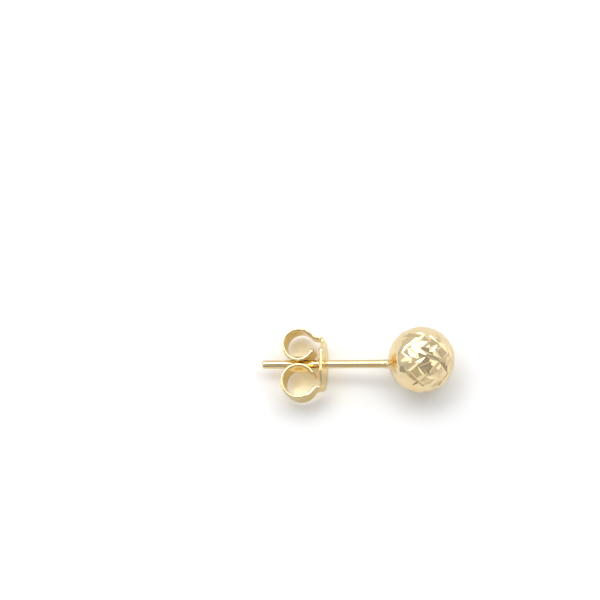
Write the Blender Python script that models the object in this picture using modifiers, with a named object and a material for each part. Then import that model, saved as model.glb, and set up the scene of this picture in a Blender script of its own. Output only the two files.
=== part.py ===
"""Diamond-cut ball stud earring with its butterfly clutch, lying as it comes to rest on a flat surface.

The stud's own frame has the post's axis along X, with the ball's centre over X = 0 and the tip toward -X.
"""

import math

import bmesh
import bpy
from mathutils import Matrix, Vector

# Stud, in metres
BALL_RADIUS = 0.0030
POST_RADIUS = 0.000375
POST_REACH = 0.01433
POST_OFF_CENTRE = 0.00036
TIP_ROUNDING = 0.00016
COLLAR_RADIUS = 0.000405
COLLAR_LENGTH = 0.00055
COLLAR_CHAMFER = 0.00004
SOLDER_FILLET = 0.00030
BALL_SEGMENTS = 48
BALL_RINGS = 30
POST_SIDES = 32
FILLET_STEPS = 4
TIP_STEPS = 3

# Diamond cuts in rows round the post's axis, with polar angles counted from the post.
# Each place in a row gets two cuts, which lean apart over a ridge that slants one way and then the other.
# The first cut of the seat row faces down, and its row is placed so that the ball rests flat on it.
CUT_COLUMNS = ("polar_deg", "count", "turn", "slant_deg", "lean_deg", "depth", "second_depth")
CUT_ROWS = (
    (65.1, 18, 0.00, 58.0, 5.5, 0.000082, 0.000064),
    (81.6, 18, 0.50, 58.0, 5.5, 0.000082, 0.000064),
    (98.1, 18, 0.00, 58.0, 5.5, 0.000082, 0.000064),
    (114.6, 16, 0.50, 58.0, 5.5, 0.000082, 0.000064),
    (131.1, 12, 0.00, 58.0, 5.5, 0.000082, 0.000064),
    (147.6, 8, 0.50, 58.0, 5.5, 0.000082, 0.000064),
    (164.1, 4, 0.00, 58.0, 5.5, 0.000082, 0.000064),
    (180.0, 1, 0.00, 0.0, 4.0, 0.000082, 0.000064),
)
SEAT_ROW = 1

# Clutch, in metres
CLUTCH_PLACE = 0.00867
SHEET = 0.00027
POST_CLEARANCE = 0.00005
PLATE_WIDTH = 0.00472
PLATE_HEIGHT = 0.0042
FLAT_EDGE = 0.0018
SHOULDER_HEIGHT = 0.0027
NECK_HEIGHT = 0.0019
STRIP_HEIGHT = 0.0027
END_CORNER = 0.00025
BEND_RADIUS = 0.00028
NECK_RUN = 0.00010
SCROLL_GAP = 0.00020
GROOVE_HALF_WIDTH = 0.00110
GROOVE_SOFTNESS = 0.00005
DIMPLE_RADIUS = 0.00105
DIMPLE_DEPTH = 0.00030
SCROLL_COLUMNS = ("side", "outer_radius", "flare_deg", "end_deg")
SCROLLS = (
    (-1, 0.00160, 57.0, 338.0),
    (1, 0.00150, 45.0, 343.0),
)
PLATE_STEPS = 9
BEND_STEPS = 4
FLARE_STEPS = 4
SCROLL_STEPS = 28
HEIGHT_STEPS = 16
HEIGHT_CROWDING = 1.2

GOLD = (0.90, 0.70, 0.36, 1.0)


def clear_scene():
    for obj in list(bpy.data.objects):
        bpy.data.objects.remove(obj, do_unlink=True)


def new_collection(name):
    collection = bpy.data.collections.new(name)
    bpy.context.scene.collection.children.link(collection)
    return collection


def gold_material(name, roughness):
    material = bpy.data.materials.new(name)
    material.use_nodes = True
    shader = material.node_tree.nodes["Principled BSDF"]
    shader.inputs["Base Color"].default_value = GOLD
    shader.inputs["Metallic"].default_value = 1.0
    shader.inputs["Roughness"].default_value = roughness
    return material


def object_from(builder, name, collection, material=None, sharp_deg=30.0):
    """New smooth-shaded object that holds the builder's mesh."""
    mesh = bpy.data.meshes.new(name)
    builder.to_mesh(mesh)
    builder.free()
    mesh.shade_smooth()
    mesh.set_sharp_from_angle(angle=math.radians(sharp_deg))
    if material:
        mesh.materials.append(material)
    obj = bpy.data.objects.new(name, mesh)
    collection.objects.link(obj)
    return obj


def join_or_cut(obj, other, operation):
    """Boolean with a helper object, which is left out of the render."""
    other.hide_render = True
    other.display_type = "WIRE"
    modifier = obj.modifiers.new(other.name, "BOOLEAN")
    modifier.operation = operation
    modifier.solver = "EXACT"
    modifier.object = other


def smoothstep(share):
    share = min(max(share, 0.0), 1.0)
    return share * share * (3.0 - 2.0 * share)


# Ball


def cut_planes():
    """[outward normal, depth] of each diamond cut, turned so that the seat row's first cut faces down."""
    planes = []
    for row_index, values in enumerate(CUT_ROWS):
        row = dict(zip(CUT_COLUMNS, values))
        if row_index == SEAT_ROW:
            seat_index = len(planes)
        polar = math.radians(row["polar_deg"])
        lean = math.tan(math.radians(row["lean_deg"]))
        for index in range(row["count"]):
            around = math.tau * (index + row["turn"]) / row["count"]
            slant = math.radians(row["slant_deg"]) * (1 - 2 * (index % 2))
            sideways = Vector((0.0, -math.sin(around), math.cos(around)))
            away = Vector((0.0, math.cos(around), math.sin(around)))
            outward = away * math.sin(polar) - Vector((math.cos(polar), 0.0, 0.0))
            onward = away * math.cos(polar) + Vector((math.sin(polar), 0.0, 0.0))
            apart = (onward * math.cos(slant) + sideways * math.sin(slant)) * lean
            planes.append([(outward + apart).normalized(), row["depth"]])
            planes.append([(outward - apart).normalized(), row["second_depth"]])
    seat = planes[seat_index][0]
    turn = Matrix.Rotation(math.radians(-90.0) - math.atan2(seat.z, seat.y), 3, "X")
    return [(turn @ normal, depth) for normal, depth in planes]


def slice_off(builder, normal, distance):
    """Cuts away what lies past a plane and closes the flat face that this leaves."""
    cut = bmesh.ops.bisect_plane(
        builder,
        geom=builder.verts[:] + builder.edges[:] + builder.faces[:],
        dist=BALL_RADIUS * 1e-6,
        plane_co=normal * distance,
        plane_no=normal,
        clear_outer=True,
    )
    rim = [item for item in cut["geom_cut"] if isinstance(item, bmesh.types.BMEdge)]
    bmesh.ops.edgeloop_fill(builder, edges=rim)


def make_ball(collection, material):
    builder = bmesh.new()
    bmesh.ops.create_uvsphere(
        builder,
        u_segments=BALL_SEGMENTS,
        v_segments=BALL_RINGS,
        radius=BALL_RADIUS,
        matrix=Matrix.Rotation(math.radians(90.0), 4, "Y"),
    )
    for normal, depth in cut_planes():
        slice_off(builder, normal, BALL_RADIUS - depth)
    bmesh.ops.remove_doubles(builder, verts=builder.verts[:], dist=BALL_RADIUS * 1e-3)
    bmesh.ops.recalc_face_normals(builder, faces=builder.faces[:])
    bmesh.ops.translate(builder, verts=builder.verts[:], vec=(0.0, POST_OFF_CENTRE, 0.0))
    return object_from(builder, "ball_stud", collection, material, sharp_deg=9.0)


# Post with its collar and solder fillet


def post_profile():
    """(reach from the ball's centre, radius) down the outer side, from inside the ball to the tip."""
    fillet_rim = COLLAR_RADIUS + SOLDER_FILLET
    seat = math.sqrt(BALL_RADIUS**2 - (POST_OFF_CENTRE + fillet_rim) ** 2)
    root = seat - SOLDER_FILLET
    profile = [(root, 0.0), (root, fillet_rim)]
    for step in range(FILLET_STEPS + 1):
        turn = math.radians(90.0) * step / FILLET_STEPS
        profile.append((seat + SOLDER_FILLET * (1.0 - math.cos(turn)), fillet_rim - SOLDER_FILLET * math.sin(turn)))
    collar_end = BALL_RADIUS + COLLAR_LENGTH
    profile.append((collar_end - COLLAR_CHAMFER, COLLAR_RADIUS))
    profile.append((collar_end, POST_RADIUS))
    for step in range(TIP_STEPS + 1):
        turn = math.radians(90.0) * step / TIP_STEPS
        reach = POST_REACH - TIP_ROUNDING * (1.0 - math.sin(turn))
        profile.append((reach, POST_RADIUS - TIP_ROUNDING * (1.0 - math.cos(turn))))
    profile.append((POST_REACH, 0.0))
    return profile


def make_post(collection):
    builder = bmesh.new()
    points = [builder.verts.new((-reach, radius, 0.0)) for reach, radius in post_profile()]
    for start, end in zip(points, points[1:]):
        builder.edges.new((start, end))
    bmesh.ops.spin(
        builder,
        geom=builder.verts[:] + builder.edges[:],
        axis=(1.0, 0.0, 0.0),
        angle=math.tau,
        steps=POST_SIDES,
        use_merge=True,
    )
    bmesh.ops.remove_doubles(builder, verts=builder.verts[:], dist=POST_RADIUS * 1e-3)
    bmesh.ops.recalc_face_normals(builder, faces=builder.faces[:])
    return object_from(builder, "post_blank", collection)


# Clutch


def half_path(side, outer_radius, flare_deg, end_deg):
    """Stations of the sheet's middle from the plate's centre to one free end, for a side that is bent toward +Y.

    Each station is (x, y, half height, push away from the post at mid height).
    """
    half_sheet = SHEET / 2
    neck_y = PLATE_WIDTH / 2 - half_sheet
    scroll_radius = outer_radius - half_sheet
    scroll_y = SCROLL_GAP / 2 + outer_radius
    flare = math.radians(flare_deg)
    flare_radius = (scroll_y + scroll_radius * math.cos(flare) - neck_y) / (1.0 - math.cos(flare))
    flare_x = -BEND_RADIUS - NECK_RUN
    scroll_x = flare_x - (scroll_radius + flare_radius) * math.sin(flare)
    stations = []

    plate_end = neck_y - BEND_RADIUS
    for step in range(1, PLATE_STEPS + 1):
        y = plate_end * step / PLATE_STEPS
        shoulder = smoothstep((y - FLAT_EDGE / 2) / (plate_end - FLAT_EDGE / 2))
        stations.append((0.0, y, (PLATE_HEIGHT + (SHOULDER_HEIGHT - PLATE_HEIGHT) * shoulder) / 2, 0.0))
    for step in range(1, BEND_STEPS + 1):
        turn = math.radians(90.0) * step / BEND_STEPS
        x = BEND_RADIUS * (math.cos(turn) - 1.0)
        y = plate_end + BEND_RADIUS * math.sin(turn)
        height = SHOULDER_HEIGHT + (NECK_HEIGHT - SHOULDER_HEIGHT) * smoothstep(step / BEND_STEPS)
        stations.append((x, y, height / 2, 0.0))
    stations.append((flare_x, neck_y, NECK_HEIGHT / 2, 0.0))
    for step in range(1, FLARE_STEPS + 1):
        turn = flare * step / FLARE_STEPS
        x = flare_x - flare_radius * math.sin(turn)
        y = neck_y + flare_radius * (1.0 - math.cos(turn))
        height = NECK_HEIGHT + (STRIP_HEIGHT - NECK_HEIGHT) * smoothstep(step / FLARE_STEPS)
        stations.append((x, y, height / 2, 0.0))
    start = math.radians(90.0) - flare
    sweep = math.radians(end_deg) - start
    grip = POST_RADIUS + POST_CLEARANCE + half_sheet
    for step in range(1, SCROLL_STEPS + 1):
        turn = start + sweep * step / SCROLL_STEPS
        x = scroll_x + scroll_radius * math.cos(turn)
        y = scroll_y + scroll_radius * math.sin(turn)
        left = sweep * scroll_radius * (1.0 - step / SCROLL_STEPS)
        corner = max(0.0, 1.0 - left / END_CORNER)
        height = STRIP_HEIGHT / 2 - END_CORNER * (1.0 - math.sqrt(1.0 - corner**2))
        push = (grip - y + math.hypot(grip - y, GROOVE_SOFTNESS)) / 2
        stations.append((x, y, height, push))
    return [(x, side * y, height, side * push) for x, y, height, push in stations]


def sheet_point(station, height_share):
    """Point of the sheet's middle surface at one station, dimpled round the hole and bowed round the post."""
    x, y, half_height, push = station
    z = math.copysign(abs(height_share) ** HEIGHT_CROWDING, height_share) * half_height
    if x == 0.0:
        hole = POST_RADIUS + POST_CLEARANCE
        x -= DIMPLE_DEPTH * (1.0 - smoothstep((math.hypot(y, z) - hole) / (DIMPLE_RADIUS - hole)))
    bow = max(0.0, 1.0 - abs(z) / GROOVE_HALF_WIDTH)
    y += push * (1.0 - math.cos(math.pi * bow)) / 2
    return Vector((x, y, z))


def make_clutch(collection, cutters, material):
    first, second = (half_path(*values) for values in SCROLLS)
    middle = (0.0, 0.0, PLATE_HEIGHT / 2, 0.0)
    stations = first[::-1] + [middle] + second
    builder = bmesh.new()
    bmesh.ops.create_grid(builder, x_segments=len(stations) - 1, y_segments=HEIGHT_STEPS, size=1.0)
    for vertex in builder.verts:
        index = round((vertex.co.x + 1.0) / 2 * (len(stations) - 1))
        vertex.co = sheet_point(stations[index], vertex.co.y)
    clutch = object_from(builder, "butterfly_clutch", collection, material)
    wall = clutch.modifiers.new("sheet", "SOLIDIFY")
    wall.thickness = SHEET
    wall.offset = 0.0
    wall.use_even_offset = True

    builder = bmesh.new()
    bmesh.ops.create_cone(
        builder,
        cap_ends=True,
        segments=POST_SIDES,
        radius1=POST_RADIUS + POST_CLEARANCE,
        radius2=POST_RADIUS + POST_CLEARANCE,
        depth=2 * (DIMPLE_DEPTH + SHEET),
        matrix=Matrix.Rotation(math.radians(90.0), 4, "Y"),
    )
    hole = object_from(builder, "post_hole", cutters)
    hole.parent = clutch
    join_or_cut(clutch, hole, "DIFFERENCE")
    clutch.location = (-CLUTCH_PLACE - SHEET / 2, 0.0, 0.0)
    return clutch


# Rest on a flat surface


def evaluated_points(objects):
    """Points of the finished shapes, in the stud's frame."""
    bpy.context.view_layer.update()
    graph = bpy.context.evaluated_depsgraph_get()
    points = []
    for obj in objects:
        finished = obj.evaluated_get(graph)
        mesh = finished.to_mesh()
        points += [obj.matrix_world @ vertex.co for vertex in mesh.vertices]
        finished.to_mesh_clear()
    return points


def lowest(points, tilt):
    """Height of the lowest point once the post's tip end is lowered by the tilt."""
    return min(point.x * math.sin(tilt) + point.z * math.cos(tilt) for point in points)


def resting_tilt(points):
    """Tilt at which the ball and what lies beyond it touch one level surface, found by halving."""
    ball = [point for point in points if point.x > -BALL_RADIUS]
    beyond = [point for point in points if point.x <= -BALL_RADIUS]
    low, high = 0.0, math.radians(60.0)
    for _ in range(40):
        tilt = (low + high) / 2
        if lowest(beyond, tilt) > lowest(ball, tilt):
            low = tilt
        else:
            high = tilt
    return tilt


def lay_down(pieces, collection):
    """Parents the pieces to an empty that lays them on Z = 0, with their box centred over the origin."""
    points = evaluated_points(pieces)
    tilt = resting_tilt(points)
    laid = [Matrix.Rotation(-tilt, 3, "Y") @ point for point in points]
    rest = bpy.data.objects.new("rest", None)
    collection.objects.link(rest)
    rest.rotation_euler.y = -tilt
    rest.location = (
        -(min(point.x for point in laid) + max(point.x for point in laid)) / 2,
        -(min(point.y for point in laid) + max(point.y for point in laid)) / 2,
        -min(point.z for point in laid),
    )
    for piece in pieces:
        piece.parent = rest


clear_scene()
earring = new_collection("earring")
cutters = new_collection("cutters")
ball_stud = make_ball(earring, gold_material("polished_gold", 0.05))
post_blank = make_post(cutters)
post_blank.parent = ball_stud
join_or_cut(ball_stud, post_blank, "UNION")
butterfly_clutch = make_clutch(earring, cutters, gold_material("sheet_gold", 0.10))
lay_down([ball_stud, butterfly_clutch], earring)
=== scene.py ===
"""Diamond-cut gold ball stud with its butterfly clutch, lying on a white table as it comes to rest.

Each piece is made in millimetres in the stud's own frame, where the post's axis runs along X from the
ball's centre toward the tip at -X, and is then laid down on the table, where Z = 0.
"""

import math

import bmesh
import bpy
from mathutils import Matrix, Vector


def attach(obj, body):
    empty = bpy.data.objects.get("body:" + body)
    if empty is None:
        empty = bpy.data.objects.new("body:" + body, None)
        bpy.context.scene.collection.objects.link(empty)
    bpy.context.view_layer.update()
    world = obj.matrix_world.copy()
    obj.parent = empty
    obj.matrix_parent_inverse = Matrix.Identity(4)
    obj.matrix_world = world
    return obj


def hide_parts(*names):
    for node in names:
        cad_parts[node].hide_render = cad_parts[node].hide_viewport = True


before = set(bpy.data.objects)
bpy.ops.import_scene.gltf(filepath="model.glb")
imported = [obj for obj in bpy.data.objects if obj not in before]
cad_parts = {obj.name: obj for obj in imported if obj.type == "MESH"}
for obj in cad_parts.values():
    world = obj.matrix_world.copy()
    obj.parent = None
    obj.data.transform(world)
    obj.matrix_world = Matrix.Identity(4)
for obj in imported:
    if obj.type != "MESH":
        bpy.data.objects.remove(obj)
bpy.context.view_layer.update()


# Viewpoint
# A long lens looks almost straight down on the earring from about 28 cm, a little turned and rolled.
LOOK_AT = Vector((-5.328, 5.846, 2.0)) * 0.001
VIEW_DISTANCE = 0.280
VIEW_ELEVATION = math.radians(78.82)
VIEW_AZIMUTH = math.radians(14.11)
VIEW_ROLL = math.radians(-13.31)

toward_camera = Vector(
    (
        math.cos(VIEW_ELEVATION) * math.sin(VIEW_AZIMUTH),
        -math.cos(VIEW_ELEVATION) * math.cos(VIEW_AZIMUTH),
        math.sin(VIEW_ELEVATION),
    )
)
level = Vector((math.cos(VIEW_AZIMUTH), math.sin(VIEW_AZIMUTH), 0.0))
upright = toward_camera.cross(level)
image_right = level * math.cos(VIEW_ROLL) + upright * math.sin(VIEW_ROLL)
image_up = upright * math.cos(VIEW_ROLL) - level * math.sin(VIEW_ROLL)
lens = bpy.data.cameras.new("camera")
lens.sensor_width = 36.0
lens.lens = 186.95
lens.clip_start = 0.01
lens.clip_end = 20.0
camera = bpy.data.objects.new("camera", lens)
camera.matrix_world = Matrix.Translation(LOOK_AT + toward_camera * VIEW_DISTANCE) @ Matrix(
    (image_right, image_up, toward_camera)
).transposed().to_4x4()
bpy.context.scene.collection.objects.link(camera)
bpy.context.scene.camera = camera


# Ball
# A polished gold ball, 6 mm across. A diamond tool has struck flat and V-shaped bright cuts all over it,
# in rows round the post's axis, and has left a smooth polished cap on the side that the post stands on.
BALL_RADIUS = 3.0
BALL_OFF_CENTRE = 0.36
FIRST_CUT_DOWN = math.radians(-104.68355)
CUT_COLUMNS = ("Polar Angle", "Count", "Turn", "Slant", "Lean", "Depth", "Second Depth")
CUT_ROWS = (
    (68.5, 18, 0.0, 58.0, 5.5, 0.082, 0.064),
    (81.6, 18, 0.5, 58.0, 5.5, 0.082, 0.064),
    (98.1, 18, 0.0, 58.0, 5.5, 0.082, 0.064),
    (114.6, 16, 0.5, 58.0, 5.5, 0.082, 0.064),
    (131.1, 12, 0.0, 58.0, 5.5, 0.082, 0.064),
    (147.6, 8, 0.5, 58.0, 5.5, 0.082, 0.064),
    (164.1, 4, 0.0, 58.0, 5.5, 0.082, 0.064),
    (180.0, 1, 0.0, 0.0, 4.0, 0.082, 0.064),
)
STRUCK_COLUMNS = ("Polar Angle", "Count", "Turn", "Slant", "Wall Slope", "Depth")
STRUCK_ROWS = (
    (70.0, 19, 0.25, 50.0, 0.35, 0.125),
    (81.0, 20, 0.75, 50.0, 0.37, 0.145),
    (92.5, 20, 0.25, 50.0, 0.37, 0.145),
    (104.0, 20, 0.75, 50.0, 0.37, 0.145),
    (115.5, 18, 0.25, 50.0, 0.38, 0.145),
    (127.0, 16, 0.75, 50.0, 0.40, 0.150),
    (138.5, 13, 0.25, 50.0, 0.41, 0.150),
    (150.0, 10, 0.75, 50.0, 0.41, 0.150),
    (163.0, 5, 0.25, 50.0, 0.41, 0.150),
    (177.0, 2, 0.75, 20.0, 0.41, 0.150),
)
ANGLE_COLUMNS = ("Polar Angle", "Slant", "Lean")
AROUND_SPREAD = 0.09
POLAR_SPREAD = 0.055
SLANT_SPREAD = 0.40
TIP_SPREAD = 0.20
DEPTH_SPREAD = 0.030
WEDGE_LENGTH = 2.0
WEDGE_WIDTH = 1.4
CLOSING_SHARE = 0.95
SKIN_SHARE = 0.99
CUT_EVENNESS = 0.85
TOOL_LINE_PITCH = 0.085
TOOL_LINE_DEPTH = 0.0000004
REST_TILT = math.radians(5.314949)
REST_PLACE = (5.6734, -0.001, 2.9191)
laid_down = (
    Matrix.Scale(0.001, 4) @ Matrix.Translation(REST_PLACE) @ Matrix.Rotation(-REST_TILT, 4, "Y")
)


def add_node(tree, kind, feeds=(), **settings):
    """Node of this kind, with each feed, a socket or a value, on the input of that place or name."""
    node = tree.nodes.new(kind)
    for name, value in settings.items():
        setattr(node, name, value)
    for place, feed in feeds.items() if isinstance(feeds, dict) else enumerate(feeds):
        if isinstance(feed, bpy.types.NodeSocket):
            tree.links.new(feed, node.inputs[place])
        else:
            node.inputs[place].default_value = feed
    return node


def number(tree, operation, *feeds):
    """Output of a Math node."""
    return add_node(tree, "ShaderNodeMath", feeds, operation=operation).outputs[0]


def vector(tree, operation, *feeds):
    """Output of a Vector Math node, which for a scaling takes its factor as the second feed."""
    places = (0, 3) if operation == "SCALE" else (0, 1, 2)
    node = add_node(tree, "ShaderNodeVectorMath", dict(zip(places, feeds)), operation=operation)
    return node.outputs["Value" if operation == "DOT_PRODUCT" else "Vector"]


def xyz(tree, x, y, z):
    """Vector put together from three numbers."""
    return add_node(tree, "ShaderNodeCombineXYZ", (x, y, z)).outputs[0]


def new_tree(kind, name, inputs, outputs):
    """Node group with named sockets, each given as (name, type, default), and its two end nodes."""
    tree = bpy.data.node_groups.new(name, kind)
    for side, sockets in (("INPUT", inputs), ("OUTPUT", outputs)):
        for label, socket_type, *default in sockets:
            kind_name = "NodeSocket" + socket_type
            socket = tree.interface.new_socket(label, in_out=side, socket_type=kind_name)
            if default:
                socket.default_value = default[0]
    return tree, tree.nodes.new("NodeGroupInput").outputs, tree.nodes.new("NodeGroupOutput").inputs


def directions(tree, around, polar):
    """Unit vectors at a place on the ball: outward, onward from the post's side, and sideways."""
    cosine, sine = number(tree, "COSINE", around), number(tree, "SINE", around)
    polar_cos, polar_sin = number(tree, "COSINE", polar), number(tree, "SINE", polar)
    away = xyz(tree, 0.0, cosine, sine)
    sideways = xyz(tree, 0.0, number(tree, "MULTIPLY", sine, -1.0), cosine)
    outward = vector(
        tree,
        "ADD",
        vector(tree, "SCALE", away, polar_sin),
        xyz(tree, number(tree, "MULTIPLY", polar_cos, -1.0), 0.0, 0.0),
    )
    onward = vector(tree, "ADD", vector(tree, "SCALE", away, polar_cos), xyz(tree, polar_sin, 0.0, 0.0))
    return outward, onward, sideways


def cut_row_tree():
    """One row of paired cuts, each as the point that is dual to its plane: the normal over the distance."""
    tree, given, made = new_tree(
        "GeometryNodeTree",
        "row of diamond cuts",
        (
            ("Radius", "Float", BALL_RADIUS),
            ("Roll", "Float", 0.0),
            ("Polar Angle", "Float", 1.57),
            ("Count", "Int", 18),
            ("Turn", "Float", 0.0),
            ("Slant", "Float", 1.0),
            ("Lean", "Float", 0.1),
            ("Depth", "Float", 0.08),
            ("Second Depth", "Float", 0.06),
        ),
        (("Points", "Geometry"),),
    )
    index = tree.nodes.new("GeometryNodeInputIndex").outputs[0]
    place = number(tree, "FLOOR", number(tree, "MULTIPLY", index, 0.5))
    second = number(tree, "FLOORED_MODULO", index, 2.0)
    share = number(tree, "DIVIDE", number(tree, "ADD", place, given["Turn"]), given["Count"])
    around = number(tree, "MULTIPLY_ADD", share, math.tau, given["Roll"])
    swap = number(tree, "MULTIPLY_ADD", number(tree, "FLOORED_MODULO", place, 2.0), -2.0, 1.0)
    slant = number(tree, "MULTIPLY", given["Slant"], swap)
    outward, onward, sideways = directions(tree, around, given["Polar Angle"])
    apart = vector(
        tree,
        "ADD",
        vector(tree, "SCALE", onward, number(tree, "COSINE", slant)),
        vector(tree, "SCALE", sideways, number(tree, "SINE", slant)),
    )
    side = number(tree, "MULTIPLY_ADD", second, -2.0, 1.0)
    lean = number(tree, "MULTIPLY", number(tree, "TANGENT", given["Lean"]), side)
    normal = vector(tree, "NORMALIZE", vector(tree, "ADD", outward, vector(tree, "SCALE", apart, lean)))
    deeper = number(tree, "SUBTRACT", given["Second Depth"], given["Depth"])
    depth = number(tree, "MULTIPLY_ADD", second, deeper, given["Depth"])
    distance = number(tree, "SUBTRACT", given["Radius"], depth)
    dual = vector(tree, "SCALE", normal, number(tree, "DIVIDE", 1.0, distance))
    count = number(tree, "MULTIPLY", given["Count"], 2.0)
    points = add_node(tree, "GeometryNodePoints", {"Count": count, "Position": dual})
    tree.links.new(points.outputs[0], made["Points"])
    return tree


def struck_row_tree():
    """One row of boat-shaped V cuts: a wedge for each, its valley in the skin, slanted to and fro."""
    tree, given, made = new_tree(
        "GeometryNodeTree",
        "row of struck cuts",
        (
            ("Radius", "Float", BALL_RADIUS),
            ("Roll", "Float", 0.0),
            ("Polar Angle", "Float", 1.57),
            ("Count", "Int", 18),
            ("Turn", "Float", 0.0),
            ("Slant", "Float", 1.0),
            ("Wall Slope", "Float", 0.2),
            ("Depth", "Float", 0.12),
            ("Unevenness", "Float", 1.0),
            ("Seed", "Int", 0),
        ),
        (("Wedges", "Geometry"),),
    )
    index = tree.nodes.new("GeometryNodeInputIndex").outputs[0]

    def spread(seed, reach):
        """Random number for each cut, up to this reach either way, scaled by the unevenness."""
        row_seed = number(tree, "MULTIPLY_ADD", given["Seed"], 7.0, seed)
        limits = {2: -reach, 3: reach, "ID": index, "Seed": row_seed}
        node = add_node(tree, "FunctionNodeRandomValue", limits, data_type="FLOAT")
        return number(tree, "MULTIPLY", node.outputs[1], given["Unevenness"])

    share = number(tree, "DIVIDE", number(tree, "ADD", index, given["Turn"]), given["Count"])
    around = number(tree, "MULTIPLY_ADD", share, math.tau, given["Roll"])
    around = number(tree, "ADD", around, spread(1.0, AROUND_SPREAD))
    polar = number(tree, "ADD", given["Polar Angle"], spread(2.0, POLAR_SPREAD))
    swap = number(tree, "MULTIPLY_ADD", number(tree, "FLOORED_MODULO", index, 2.0), -2.0, 1.0)
    slant = number(tree, "MULTIPLY_ADD", given["Slant"], swap, spread(3.0, SLANT_SPREAD))
    outward, onward, sideways = directions(tree, around, polar)
    along = vector(
        tree,
        "ADD",
        vector(tree, "SCALE", onward, number(tree, "SINE", slant)),
        vector(tree, "SCALE", sideways, number(tree, "COSINE", slant)),
    )
    across = vector(tree, "CROSS_PRODUCT", outward, along)
    tipped = vector(tree, "ADD", outward, vector(tree, "SCALE", across, spread(4.0, TIP_SPREAD)))
    depth = number(tree, "ADD", given["Depth"], spread(5.0, DEPTH_SPREAD))
    place = vector(tree, "SCALE", outward, number(tree, "SUBTRACT", given["Radius"], depth))
    points = add_node(tree, "GeometryNodePoints", {"Count": given["Count"], "Position": place})
    turned = add_node(
        tree, "FunctionNodeAxesToRotation", (tipped, along), primary_axis="Z", secondary_axis="X"
    )
    block = add_node(tree, "GeometryNodeMeshCube", {"Size": (WEDGE_LENGTH, WEDGE_WIDTH, WEDGE_LENGTH)})
    position = tree.nodes.new("GeometryNodeInputPosition").outputs[0]
    parts = add_node(tree, "ShaderNodeSeparateXYZ", (position,)).outputs
    top = number(tree, "GREATER_THAN", parts[2], 0.0)
    top_width = number(tree, "MULTIPLY", top, WEDGE_WIDTH / 2)
    wall_height = number(tree, "MULTIPLY", top_width, given["Wall Slope"])
    wedge = add_node(
        tree,
        "GeometryNodeSetPosition",
        {
            "Geometry": block.outputs[0],
            "Position": xyz(tree, parts[0], number(tree, "MULTIPLY", parts[1], top), wall_height),
        },
    )
    closed = add_node(
        tree, "GeometryNodeMergeByDistance", {"Geometry": wedge.outputs[0], "Distance": 0.001}
    )
    mapped = add_node(
        tree,
        "GeometryNodeStoreNamedAttribute",
        {"Geometry": closed.outputs[0], "Name": "along_cut", "Value": position},
        data_type="FLOAT2",
        domain="CORNER",
    )
    placed = add_node(
        tree,
        "GeometryNodeInstanceOnPoints",
        {"Points": points.outputs[0], "Instance": mapped.outputs[0], "Rotation": turned.outputs[0]},
    )
    tree.links.new(placed.outputs[0], made["Wedges"])
    return tree


def joined_rows(tree, given, row_tree, columns, rows):
    """Join node that gathers one group of this row tree for each row of values."""
    join = tree.nodes.new("GeometryNodeJoinGeometry")
    for seed, values in enumerate(rows):
        sizes = {"Radius": given["Radius"], "Roll": given["Roll"]}
        row = add_node(tree, "GeometryNodeGroup", sizes, node_tree=row_tree)
        for label, value in zip(columns, values):
            row.inputs[label].default_value = math.radians(value) if label in ANGLE_COLUMNS else value
        if "Seed" in row.inputs:
            row.inputs["Seed"].default_value = seed
        tree.links.new(row.outputs[0], join.inputs[0])
    return join


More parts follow.
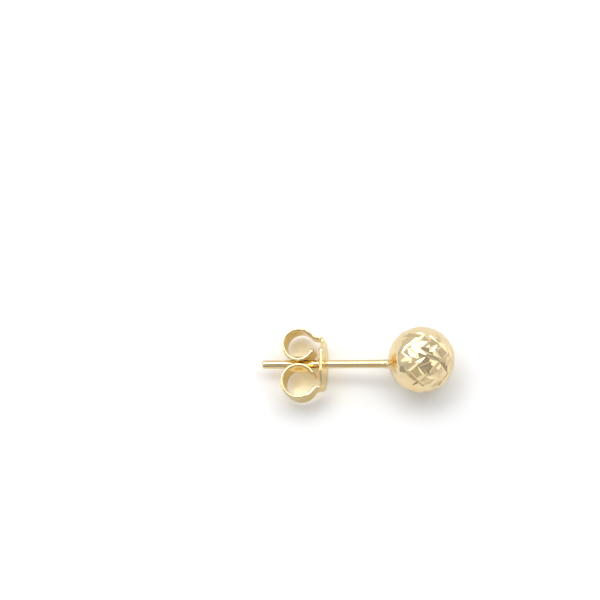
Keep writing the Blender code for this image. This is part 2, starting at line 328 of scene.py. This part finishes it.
def cut_ball_tree(material):
    """A fine sphere cut by the body that the flat rows enclose and by the wedges, the cuts masked."""
    tree, given, made = new_tree(
        "GeometryNodeTree",
        "diamond-cut ball",
        (
            ("Radius", "Float", BALL_RADIUS),
            ("Roll", "Float", 0.0),
            ("Segments", "Int", 192),
            ("Rings", "Int", 128),
        ),
        (("Mesh", "Geometry"),),
    )
    join = joined_rows(tree, given, cut_row_tree(), CUT_COLUMNS, CUT_ROWS)
    closing = xyz(tree, number(tree, "DIVIDE", -CLOSING_SHARE, given["Radius"]), 0.0, 0.0)
    cap = add_node(tree, "GeometryNodePoints", {"Count": 1, "Position": closing})
    tree.links.new(cap.outputs[0], join.inputs[0])
    hull = add_node(tree, "GeometryNodeConvexHull", (join.outputs[0],))
    position = tree.nodes.new("GeometryNodeInputPosition").outputs[0]
    normal = tree.nodes.new("GeometryNodeInputNormal").outputs[0]
    reach = vector(tree, "DOT_PRODUCT", normal, position)
    corner = vector(tree, "SCALE", normal, number(tree, "DIVIDE", 1.0, reach))
    kept = tree.nodes.new("GeometryNodeCaptureAttribute")
    kept.capture_items.new("VECTOR", "Corner")
    kept.domain = "FACE"
    tree.links.new(hull.outputs[0], kept.inputs[0])
    tree.links.new(corner, kept.inputs[1])
    body = add_node(tree, "GeometryNodeDualMesh", (kept.outputs[0],))
    placed = add_node(
        tree, "GeometryNodeSetPosition", {"Geometry": body.outputs[0], "Position": kept.outputs[1]}
    )
    merged = add_node(
        tree, "GeometryNodeMergeByDistance", {"Geometry": placed.outputs[0], "Distance": 0.0004}
    )
    sphere = add_node(
        tree,
        "GeometryNodeMeshUVSphere",
        {"Segments": given["Segments"], "Rings": given["Rings"], "Radius": given["Radius"]},
    )
    turned = add_node(
        tree,
        "GeometryNodeTransform",
        {"Geometry": sphere.outputs[0], "Rotation": (0.0, math.radians(90.0), 0.0)},
    )
    common = add_node(tree, "GeometryNodeMeshBoolean", operation="INTERSECT", solver="EXACT")
    tree.links.new(merged.outputs[0], common.inputs["Mesh 2"])
    tree.links.new(turned.outputs[0], common.inputs["Mesh 2"])
    wedges = joined_rows(tree, given, struck_row_tree(), STRUCK_COLUMNS, STRUCK_ROWS)
    struck = add_node(tree, "GeometryNodeMeshBoolean", operation="DIFFERENCE", solver="EXACT")
    tree.links.new(common.outputs[0], struck.inputs["Mesh 1"])
    tree.links.new(wedges.outputs[0], struck.inputs["Mesh 2"])
    deep = number(tree, "MULTIPLY", given["Radius"], SKIN_SHARE)
    is_cut = number(tree, "LESS_THAN", reach, deep)
    mask = add_node(
        tree,
        "GeometryNodeStoreNamedAttribute",
        {"Geometry": struck.outputs[0], "Name": "cut", "Value": is_cut},
        data_type="FLOAT",
        domain="FACE",
    )
    whole = add_node(tree, "GeometryNodeRealizeInstances", (mask.outputs[0],))
    finished = add_node(
        tree, "GeometryNodeSetMaterial", {"Geometry": whole.outputs[0], "Material": material}
    )
    tree.links.new(finished.outputs[0], made["Mesh"])
    return tree


def mesh_from_tree(tree, values):
    """Plain mesh that a tree makes, with its named inputs set."""
    maker = bpy.data.objects.new(tree.name, bpy.data.meshes.new(tree.name))
    bpy.context.scene.collection.objects.link(maker)
    modifier = maker.modifiers.new("maker", "NODES")
    modifier.node_group = tree
    for item in tree.interface.items_tree:
        if item.in_out == "INPUT" and item.name in values:
            modifier[item.identifier] = values[item.name]
    bpy.context.view_layer.update()
    mesh = bpy.data.meshes.new_from_object(maker.evaluated_get(bpy.context.evaluated_depsgraph_get()))
    bpy.data.objects.remove(maker, do_unlink=True)
    return mesh


def finished_piece(mesh, name, sharp_deg):
    """Object of a mesh in millimetres, smooth up to this angle, laid down on the table in metres."""
    mesh.name = name
    mesh.shade_smooth()
    mesh.set_sharp_from_angle(angle=math.radians(sharp_deg))
    piece = bpy.data.objects.new(name, mesh)
    bpy.context.scene.collection.objects.link(piece)
    piece.data.transform(laid_down)
    return piece


MARK_DIRECTIONS = (
    ((20.0, 35.0, 10.0), 34.0),
    ((-40.0, 10.0, 65.0), 28.0),
    ((75.0, -30.0, -25.0), 40.0),
)


def fine_marks_tree():
    """Hairline marks of handling and polishing, crossing in three directions, as a height and a mask."""
    tree, given, made = new_tree(
        "ShaderNodeTree",
        "fine marks",
        (
            ("Vector", "Vector"),
            ("Amount", "Float", 0.5),
        ),
        (("Height", "Float"), ("Mask", "Float")),
    )
    total = None
    for turn, stretch in MARK_DIRECTIONS:
        laid = add_node(
            tree,
            "ShaderNodeMapping",
            {
                "Vector": given["Vector"],
                "Rotation": [math.radians(angle) for angle in turn],
                "Scale": (1.0, stretch, stretch),
            },
        )
        streaks = add_node(
            tree,
            "ShaderNodeTexNoise",
            {"Vector": laid.outputs[0], "Scale": 900.0, "Detail": 2.0, "Roughness": 0.6},
        )
        line = add_node(
            tree,
            "ShaderNodeMapRange",
            {"Value": streaks.outputs[0], "From Min": 0.60, "From Max": 0.74},
        ).outputs[0]
        total = line if total is None else number(tree, "MAXIMUM", total, line)
    tree.links.new(number(tree, "MULTIPLY", total, -1.0), made["Height"])
    tree.links.new(number(tree, "MULTIPLY", total, given["Amount"]), made["Mask"])
    return tree


def gold_tone_tree():
    """Base colour of yellow gold, a little warmer or paler from place to place."""
    tree, given, made = new_tree(
        "ShaderNodeTree",
        "gold tone",
        (
            ("Vector", "Vector"),
            ("Pale Gold", "Color", (0.965, 0.785, 0.485, 1.0)),
            ("Warm Gold", "Color", (0.935, 0.725, 0.395, 1.0)),
            ("Scale", "Float", 350.0),
        ),
        (("Color", "Color"),),
    )
    patches = add_node(
        tree,
        "ShaderNodeTexNoise",
        {"Vector": given["Vector"], "Scale": given["Scale"], "Detail": 3.0, "Roughness": 0.55},
    )
    share = add_node(
        tree, "ShaderNodeMapRange", {"Value": patches.outputs[0], "From Min": 0.35, "From Max": 0.65}
    )
    tone = add_node(tree, "ShaderNodeMix", data_type="RGBA")
    tree.links.new(share.outputs[0], tone.inputs["Factor"])
    tree.links.new(given["Pale Gold"], tone.inputs[6])
    tree.links.new(given["Warm Gold"], tone.inputs[7])
    tree.links.new(tone.outputs[2], made["Color"])
    return tree


fine_marks = fine_marks_tree()
gold_tone = gold_tone_tree()


def gold_material(name, roughness, tone=None, marks=0.02, bump=0.05, edge_tint=(1.0, 1.0, 1.0, 1.0)):
    """Yellow gold with its tone and fine marks, the place its patterns read, and the marks' Bump node."""
    material = bpy.data.materials.new(name)
    material.use_nodes = True
    tree = material.node_tree
    shader = tree.nodes["Principled BSDF"]
    shader.inputs["Metallic"].default_value = 1.0
    shader.inputs["Specular Tint"].default_value = edge_tint
    place = tree.nodes.new("ShaderNodeTexCoord").outputs["Object"]
    colour = add_node(tree, "ShaderNodeGroup", node_tree=gold_tone)
    tree.links.new(place, colour.inputs["Vector"])
    for label, value in (tone or {}).items():
        colour.inputs[label].default_value = value
    tree.links.new(colour.outputs[0], shader.inputs["Base Color"])
    marked = add_node(tree, "ShaderNodeGroup", node_tree=fine_marks)
    marked.inputs["Amount"].default_value = marks
    tree.links.new(place, marked.inputs["Vector"])
    rough = number(tree, "ADD", marked.outputs["Mask"], roughness)
    tree.links.new(rough, shader.inputs["Roughness"])
    scratches = add_node(
        tree, "ShaderNodeBump", {"Height": marked.outputs["Height"], "Strength": bump, "Distance": 0.000004}
    )
    tree.links.new(scratches.outputs[0], shader.inputs["Normal"])
    return material, place, scratches


polished_gold, place, scratches = gold_material("polished_gold", 0.05, bump=0.007)
tree = polished_gold.node_tree
is_cut = add_node(tree, "ShaderNodeAttribute", attribute_name="cut").outputs["Fac"]
cut_place = add_node(tree, "ShaderNodeAttribute", attribute_name="along_cut").outputs["Vector"]
across_cut = add_node(tree, "ShaderNodeSeparateXYZ", (cut_place,)).outputs[1]
tool_lines = number(tree, "SINE", number(tree, "MULTIPLY", across_cut, math.tau / TOOL_LINE_PITCH))
lines_vary = add_node(tree, "ShaderNodeTexNoise", {"Vector": place, "Scale": 420.0, "Detail": 1.0})
lines_shown = add_node(
    tree, "ShaderNodeMapRange", {"Value": lines_vary.outputs[0], "From Min": 0.42, "From Max": 0.62}
)
tool_lines = number(tree, "MULTIPLY", tool_lines, number(tree, "MULTIPLY", lines_shown.outputs[0], is_cut))
turned_lines = add_node(
    tree, "ShaderNodeBump", {"Height": tool_lines, "Strength": 1.0, "Distance": TOOL_LINE_DEPTH}
)
rolling = add_node(tree, "ShaderNodeTexNoise", {"Vector": place, "Scale": 700.0, "Detail": 1.0})
off_cuts = number(tree, "MULTIPLY_ADD", is_cut, -CUT_EVENNESS, 1.0)
on_cap = number(tree, "MULTIPLY", rolling.outputs[0], off_cuts)
uneven = add_node(tree, "ShaderNodeBump", {"Height": on_cap, "Strength": 0.35, "Distance": 0.00002})
tree.links.new(turned_lines.outputs[0], uneven.inputs["Normal"])
tree.links.new(uneven.outputs[0], scratches.inputs["Normal"])

ball = finished_piece(
    mesh_from_tree(cut_ball_tree(polished_gold), {"Roll": FIRST_CUT_DOWN}), "cut_ball", sharp_deg=6.0
)
ball.data.transform(laid_down @ Matrix.Translation((0.0, BALL_OFF_CENTRE, 0.0)) @ laid_down.inverted())
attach(ball, "stud")
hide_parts("ball_stud")


# Post
# Straight round gold wire, 0.75 mm thick, with its end rounded over. It stands in a short collar on the
# ball's cap, a little off centre, and hard solder runs out from the collar over the cap in a fillet.
POST_RADIUS = 0.375
POST_REACH = 14.33
TIP_ROUNDING = 0.16
COLLAR_RADIUS = 0.405
COLLAR_LENGTH = 0.38
COLLAR_CHAMFER = 0.04
SOLDER_FILLET = 0.36
SOLDER_OVERLAP = 0.1
SOLDER_LIP = 0.02
SOLDER_SINK = 0.01
TIP_INSET = 0.1
POST_SIDES = 96
POST_STEPS = 24
ARC_STEPS = 10
CHAMFER_STEPS = 4


def turned_mesh(name, profile, sides, material):
    """Mesh of a profile of (reach, radius) points turned round the post's axis."""
    builder = bmesh.new()
    points = [builder.verts.new((-reach, radius, 0.0)) for reach, radius in profile]
    for start, end in zip(points, points[1:]):
        builder.edges.new((start, end))
    bmesh.ops.spin(
        builder,
        geom=builder.verts[:] + builder.edges[:],
        axis=(1.0, 0.0, 0.0),
        angle=math.tau,
        steps=sides,
        use_merge=True,
    )
    bmesh.ops.remove_doubles(builder, verts=builder.verts[:], dist=0.0005)
    bmesh.ops.recalc_face_normals(builder, faces=builder.faces[:])
    mesh = bpy.data.meshes.new(name)
    builder.to_mesh(mesh)
    builder.free()
    mesh.materials.append(material)
    return mesh


def quarter_arc(steps):
    """Sines and cosines through a quarter turn."""
    turns = [math.radians(90.0) * step / steps for step in range(steps + 1)]
    return [(math.sin(turn), math.cos(turn)) for turn in turns]


collar_end = BALL_RADIUS + COLLAR_LENGTH
fillet_rim = COLLAR_RADIUS + SOLDER_FILLET
seat = math.sqrt(BALL_RADIUS**2 - (BALL_OFF_CENTRE + fillet_rim) ** 2)
wire_profile = [(seat, 0.0), (seat, COLLAR_RADIUS)]
wire_profile += [(collar_end - COLLAR_CHAMFER, COLLAR_RADIUS)]
wire_profile += [
    (collar_end - COLLAR_CHAMFER * cosine, POST_RADIUS + (COLLAR_RADIUS - POST_RADIUS) * (1.0 - sine))
    for sine, cosine in quarter_arc(CHAMFER_STEPS)
]
wire_profile += [
    (collar_end + (POST_REACH - TIP_ROUNDING - collar_end) * step / POST_STEPS, POST_RADIUS)
    for step in range(1, POST_STEPS)
]
wire_profile += [
    (POST_REACH - TIP_ROUNDING * (1.0 - sine), POST_RADIUS - TIP_ROUNDING * (1.0 - cosine))
    for sine, cosine in quarter_arc(ARC_STEPS)
]
wire_profile += [(POST_REACH, POST_RADIUS - TIP_ROUNDING - TIP_INSET), (POST_REACH, 0.0)]

drawn_gold, *_ = gold_material(
    "drawn_gold",
    0.07,
    {"Pale Gold": (0.91, 0.73, 0.44, 1.0), "Warm Gold": (0.87, 0.67, 0.36, 1.0)},
    marks=0.05,
    bump=0.12,
    edge_tint=(1.0, 0.88, 0.65, 1.0),
)
post = finished_piece(turned_mesh("post", wire_profile, POST_SIDES, drawn_gold), "post", sharp_deg=40.0)
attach(post, "stud")
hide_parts("ball_stud")

solder_profile = [
    (seat - SOLDER_FILLET, COLLAR_RADIUS - SOLDER_OVERLAP),
    (seat - SOLDER_FILLET, fillet_rim),
]
solder_profile += [
    (seat + SOLDER_FILLET * (1.0 - cosine), fillet_rim - SOLDER_FILLET * sine)
    for sine, cosine in quarter_arc(ARC_STEPS)
]
solder_profile += [
    (seat + SOLDER_FILLET + SOLDER_LIP, COLLAR_RADIUS - SOLDER_SINK),
    (seat + SOLDER_FILLET, COLLAR_RADIUS - SOLDER_OVERLAP),
]
solder_profile += [solder_profile[0]]
solder_gold, *_ = gold_material(
    "solder_gold",
    0.16,
    {"Pale Gold": (0.92, 0.76, 0.47, 1.0), "Warm Gold": (0.88, 0.68, 0.36, 1.0)},
    marks=0.06,
)
solder = finished_piece(
    turned_mesh("solder_fillet", solder_profile, POST_SIDES, solder_gold), "solder_fillet", sharp_deg=50.0
)
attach(solder, "stud")
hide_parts("ball_stud")


# Clutch
# One stamped strip of gold sheet, 0.27 mm thick: an oval plate with a dimpled hole for the post, and a
# narrower strip on each side, bent back and curled into a scroll. The scrolls' springy walls grip the post.
CLUTCH_PLACE = 8.67
SHEET = 0.27
POST_CLEARANCE = 0.05
PLATE_WIDTH = 4.72
PLATE_HEIGHT = 4.2
FLAT_EDGE = 1.8
SHOULDER_HEIGHT = 2.7
NECK_HEIGHT = 1.9
STRIP_HEIGHT = 2.7
END_CORNER = 0.25
BEND_RADIUS = 0.28
NECK_RUN = 0.10
SCROLL_GAP = 0.20
GROOVE_HALF_WIDTH = 1.10
GROOVE_SOFTNESS = 0.05
DIMPLE_RADIUS = 1.05
DIMPLE_DEPTH = 0.30
SCROLL_COLUMNS = ("side", "outer_radius", "flare_deg", "end_deg")
SCROLLS = (
    (-1, 1.60, 57.0, 338.0),
    (1, 1.50, 45.0, 343.0),
)
NECK_RISE = 1.7
EDGE_ROUNDING = 0.095
PLATE_STEPS = 40
BEND_STEPS = 14
FLARE_STEPS = 16
SCROLL_STEPS = 120
HEIGHT_STEPS = 36
EDGE_STEPS = 5


def smoothstep(share):
    share = min(max(share, 0.0), 1.0)
    return share * share * (3.0 - 2.0 * share)


def half_path(side, outer_radius, flare_deg, end_deg):
    """Stations of the sheet's middle from the plate's centre to one free end.

    Each is (x, y, half height, push outward round the post, thinning toward the end).
    """
    half_sheet = SHEET / 2
    neck_y = PLATE_WIDTH / 2 - half_sheet
    scroll_radius = outer_radius - half_sheet
    scroll_y = SCROLL_GAP / 2 + outer_radius
    flare = math.radians(flare_deg)
    flare_radius = (scroll_y + scroll_radius * math.cos(flare) - neck_y) / (1.0 - math.cos(flare))
    flare_x = -BEND_RADIUS - NECK_RUN
    scroll_x = flare_x - (scroll_radius + flare_radius) * math.sin(flare)
    stations = []

    plate_end = neck_y - BEND_RADIUS
    for step in range(1, PLATE_STEPS + 1):
        y = plate_end * step / PLATE_STEPS
        shoulder = smoothstep((y - FLAT_EDGE / 2) / (plate_end - FLAT_EDGE / 2))
        height = PLATE_HEIGHT + (SHOULDER_HEIGHT - PLATE_HEIGHT) * shoulder
        stations.append((0.0, y, height / 2, 0.0, 0.0))
    for step in range(1, BEND_STEPS + 1):
        turn = math.radians(90.0) * step / BEND_STEPS
        x = BEND_RADIUS * (math.cos(turn) - 1.0)
        y = plate_end + BEND_RADIUS * math.sin(turn)
        height = SHOULDER_HEIGHT + (NECK_HEIGHT - SHOULDER_HEIGHT) * smoothstep(step / BEND_STEPS)
        stations.append((x, y, height / 2, 0.0, 0.0))

    def strip_height(run):
        """Half height of the strip at this distance along it from the plate's bend."""
        return (NECK_HEIGHT + (STRIP_HEIGHT - NECK_HEIGHT) * smoothstep(run / NECK_RISE)) / 2

    stations.append((flare_x, neck_y, strip_height(NECK_RUN), 0.0, 0.0))
    for step in range(1, FLARE_STEPS + 1):
        turn = flare * step / FLARE_STEPS
        x = flare_x - flare_radius * math.sin(turn)
        y = neck_y + flare_radius * (1.0 - math.cos(turn))
        stations.append((x, y, strip_height(NECK_RUN + flare_radius * turn), 0.0, 0.0))
    start = math.radians(90.0) - flare
    scroll_run = (math.radians(end_deg) - start) * scroll_radius
    flare_run = NECK_RUN + flare_radius * flare
    grip = POST_RADIUS + POST_CLEARANCE + half_sheet
    full_run = scroll_run - EDGE_ROUNDING
    runs = [(full_run * step / SCROLL_STEPS, 0.0) for step in range(1, SCROLL_STEPS + 1)]
    runs += [
        (full_run + EDGE_ROUNDING * sine, 1.0 - cosine) for sine, cosine in quarter_arc(EDGE_STEPS)[1:]
    ]
    for run, thinning in runs:
        turn = start + run / scroll_radius
        x = scroll_x + scroll_radius * math.cos(turn)
        y = scroll_y + scroll_radius * math.sin(turn)
        corner = max(0.0, 1.0 - (scroll_run - run) / END_CORNER)
        height = strip_height(flare_run + run) - END_CORNER * (1.0 - math.sqrt(1.0 - corner**2))
        push = (grip - y + math.hypot(grip - y, GROOVE_SOFTNESS)) / 2
        stations.append((x, y, height, push, thinning))
    return [(x, side * y, height, side * push, thinning) for x, y, height, push, thinning in stations]


def sheet_point(station, height_share, outward):
    """Point of the sheet's middle surface, dimpled round the hole and bowed round the post."""
    x, y, half_height, push, thinning = station
    z = height_share * (half_height - EDGE_ROUNDING) + outward * EDGE_ROUNDING
    if x == 0.0:
        hole = POST_RADIUS + POST_CLEARANCE
        x -= DIMPLE_DEPTH * (1.0 - smoothstep((math.hypot(y, z) - hole) / (DIMPLE_RADIUS - hole)))
    bow = max(0.0, 1.0 - abs(z) / GROOVE_HALF_WIDTH)
    y += push * (1.0 - math.cos(math.pi * bow)) / 2
    return Vector((x, y, z))


def clutch_mesh(material):
    """The sheet along its path, thinned away at its rounded edges, with the hole cut through."""
    first, second = (half_path(**dict(zip(SCROLL_COLUMNS, values))) for values in SCROLLS)
    middle = (0.0, 0.0, PLATE_HEIGHT / 2, 0.0, 0.0)
    stations = first[::-1] + [middle] + second
    edge_rows = [(1.0, sine, 1.0 - cosine) for sine, cosine in quarter_arc(EDGE_STEPS)[1:]]
    rows = [(-1.0, -outward, thinning) for _, outward, thinning in edge_rows[::-1]]
    rows += [(2.0 * step / HEIGHT_STEPS - 1.0, 0.0, 0.0) for step in range(HEIGHT_STEPS + 1)]
    rows += edge_rows
    builder = bmesh.new()
    thickness = builder.verts.layers.deform.verify()
    columns = []
    for station in stations:
        column = []
        for height_share, outward, thinning in rows:
            vertex = builder.verts.new(sheet_point(station, height_share, outward))
            vertex[thickness][0] = 1.0 - max(thinning, station[4]) * EDGE_ROUNDING / (SHEET / 2)
            column.append(vertex)
        columns.append(column)
    for left, right in zip(columns, columns[1:]):
        for low in range(len(rows) - 1):
            builder.faces.new((left[low], right[low], right[low + 1], left[low + 1]))
    mesh = bpy.data.meshes.new("clutch")
    builder.to_mesh(mesh)
    builder.free()
    mesh.materials.append(material)
    clutch = bpy.data.objects.new("clutch_maker", mesh)
    clutch.vertex_groups.new(name="thickness")
    bpy.context.scene.collection.objects.link(clutch)
    wall = clutch.modifiers.new("sheet", "SOLIDIFY")
    wall.thickness = SHEET
    wall.offset = 0.0
    wall.vertex_group = "thickness"
    wall.thickness_vertex_group = 0.0
    builder = bmesh.new()
    bmesh.ops.create_cone(
        builder,
        cap_ends=True,
        segments=POST_SIDES,
        radius1=POST_RADIUS + POST_CLEARANCE,
        radius2=POST_RADIUS + POST_CLEARANCE,
        depth=2 * (DIMPLE_DEPTH + SHEET),
        matrix=Matrix.Rotation(math.radians(90.0), 4, "Y"),
    )
    punch = bpy.data.objects.new("punch", bpy.data.meshes.new("punch"))
    builder.to_mesh(punch.data)
    builder.free()
    bpy.context.scene.collection.objects.link(punch)
    hole = clutch.modifiers.new("hole", "BOOLEAN")
    hole.operation = "DIFFERENCE"
    hole.solver = "EXACT"
    hole.object = punch
    bpy.context.view_layer.update()
    made = bpy.data.meshes.new_from_object(clutch.evaluated_get(bpy.context.evaluated_depsgraph_get()))
    bpy.data.objects.remove(clutch, do_unlink=True)
    bpy.data.objects.remove(punch, do_unlink=True)
    made.transform(Matrix.Translation((-CLUTCH_PLACE - SHEET / 2, 0.0, 0.0)))
    return made


sheet_gold, *_ = gold_material(
    "sheet_gold",
    0.10,
    {"Pale Gold": (0.95, 0.79, 0.46, 1.0), "Warm Gold": (0.93, 0.74, 0.38, 1.0)},
    marks=0.05,
    bump=0.10,
    edge_tint=(1.0, 0.93, 0.75, 1.0),
)
clutch = finished_piece(clutch_mesh(sheet_gold), "butterfly_scrolls", sharp_deg=40.0)
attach(clutch, "clutch")
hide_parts("butterfly_clutch")


# Table
# A plain white surface, wide enough to fill every view, that takes the earring's soft shadow.
TABLE_HALF_WIDTH = 3.0
PALENESS = 0.77
SEEN_PALER = 0.13

white = bpy.data.materials.new("table_white")
white.use_nodes = True
tree = white.node_tree
shader = tree.nodes["Principled BSDF"]
shader.inputs["Roughness"].default_value = 0.7
shader.inputs["Specular IOR Level"].default_value = 0.1
seen = tree.nodes.new("ShaderNodeLightPath").outputs["Is Camera Ray"]
paleness = number(tree, "MULTIPLY_ADD", seen, SEEN_PALER, PALENESS)
pale = add_node(tree, "ShaderNodeCombineColor", [paleness] * 3)
tree.links.new(pale.outputs[0], shader.inputs["Base Color"])
builder = bmesh.new()
bmesh.ops.create_grid(builder, x_segments=1, y_segments=1, size=TABLE_HALF_WIDTH)
table = bpy.data.objects.new("table", bpy.data.meshes.new("table"))
builder.to_mesh(table.data)
builder.free()
table.data.materials.append(white)
bpy.context.scene.collection.objects.link(table)


# Light
# Four soft boxes stand in two rows on the far side of the table, with dark gaps that the bright cuts pick
# up, and a dim one stands at each side. The rest of the room is an uneven grey, darker on the near side,
# low down and round the viewpoint, and white where it is seen straight on.
LIGHT_COLUMNS = ("name", "azimuth_deg", "elevation_deg", "wide_deg", "high_deg", "brightness")
LIGHTS = (
    ("box_high_left", -36.0, 60.5, 40.0, 21.0, 3.8),
    ("box_high_right", 36.0, 60.5, 34.0, 21.0, 3.3),
    ("box_low_left", -38.0, 39.0, 42.0, 12.0, 2.0),
    ("box_low_right", 28.0, 39.0, 40.0, 12.0, 1.6),
    ("box_right", 92.0, 34.0, 26.0, 34.0, 0.6),
    ("box_left", -96.0, 34.0, 26.0, 34.0, 0.6),
)
LIGHT_DISTANCE = 2.0
COOL_WHITE = (0.97, 0.982, 1.0)
DARK_SPOT_RIM = math.radians(24.0)
DARK_SPOT_CORE = math.radians(7.0)
SEEN_WHITE = 1.1

for values in LIGHTS:
    row = dict(zip(LIGHT_COLUMNS, values))
    light = bpy.data.lights.new(row["name"], "AREA")
    light.shape = "RECTANGLE"
    light.color = COOL_WHITE
    light.size = 2 * LIGHT_DISTANCE * math.tan(math.radians(row["wide_deg"] / 2))
    light.size_y = 2 * LIGHT_DISTANCE * math.tan(math.radians(row["high_deg"] / 2))
    light.energy = row["brightness"] * math.pi * light.size * light.size_y
    azimuth, elevation = math.radians(row["azimuth_deg"]), math.radians(row["elevation_deg"])
    toward = Vector(
        (
            math.sin(azimuth) * math.cos(elevation),
            math.cos(azimuth) * math.cos(elevation),
            math.sin(elevation),
        )
    )
    box = bpy.data.objects.new(row["name"], light)
    box.location = toward * LIGHT_DISTANCE
    box.rotation_euler = toward.to_track_quat("Z", "Y").to_euler()
    box.visible_camera = False
    bpy.context.scene.collection.objects.link(box)

room = bpy.data.worlds.new("room")
room.use_nodes = True
tree = room.node_tree
background = tree.nodes["Background"]
background.inputs["Color"].default_value = (*COOL_WHITE, 1.0)
direction = tree.nodes.new("ShaderNodeTexCoord").outputs["Generated"]
patches = add_node(
    tree, "ShaderNodeTexNoise", {"Vector": direction, "Scale": 2.6, "Detail": 1.0, "Roughness": 0.5}
)
grey = add_node(
    tree,
    "ShaderNodeMapRange",
    {"Value": patches.outputs[0], "From Min": 0.36, "From Max": 0.64, "To Min": 0.48, "To Max": 0.88},
).outputs[0]
nearness = vector(tree, "DOT_PRODUCT", direction, toward_camera)
dark = add_node(
    tree,
    "ShaderNodeMapRange",
    {
        "Value": nearness,
        "From Min": math.cos(DARK_SPOT_RIM),
        "From Max": math.cos(DARK_SPOT_CORE),
        "To Min": 1.0,
        "To Max": 0.55,
    },
).outputs[0]
grey = number(tree, "MULTIPLY", grey, dark)
sides = add_node(tree, "ShaderNodeSeparateXYZ", (direction,)).outputs
near_side = {"Value": sides[1], "From Min": -0.5, "From Max": 0.4, "To Min": 0.74, "To Max": 1.15}
grey = number(tree, "MULTIPLY", grey, add_node(tree, "ShaderNodeMapRange", near_side).outputs[0])
horizon = {"Value": sides[2], "From Min": 0.05, "From Max": 0.42, "To Min": 0.74, "To Max": 1.0}
grey = number(tree, "MULTIPLY", grey, add_node(tree, "ShaderNodeMapRange", horizon).outputs[0])
seen = tree.nodes.new("ShaderNodeLightPath").outputs["Is Camera Ray"]
seen_white = number(tree, "MULTIPLY", seen, SEEN_WHITE)
tree.links.new(number(tree, "MAXIMUM", grey, seen_white), background.inputs["Strength"])
bpy.context.scene.world = room
bpy.context.scene.view_settings.view_transform = "Standard"
# The curled walls light each other and the table only if their mirror bounces stay unsoftened.
bpy.context.scene.cycles.blur_glossy = 0.0
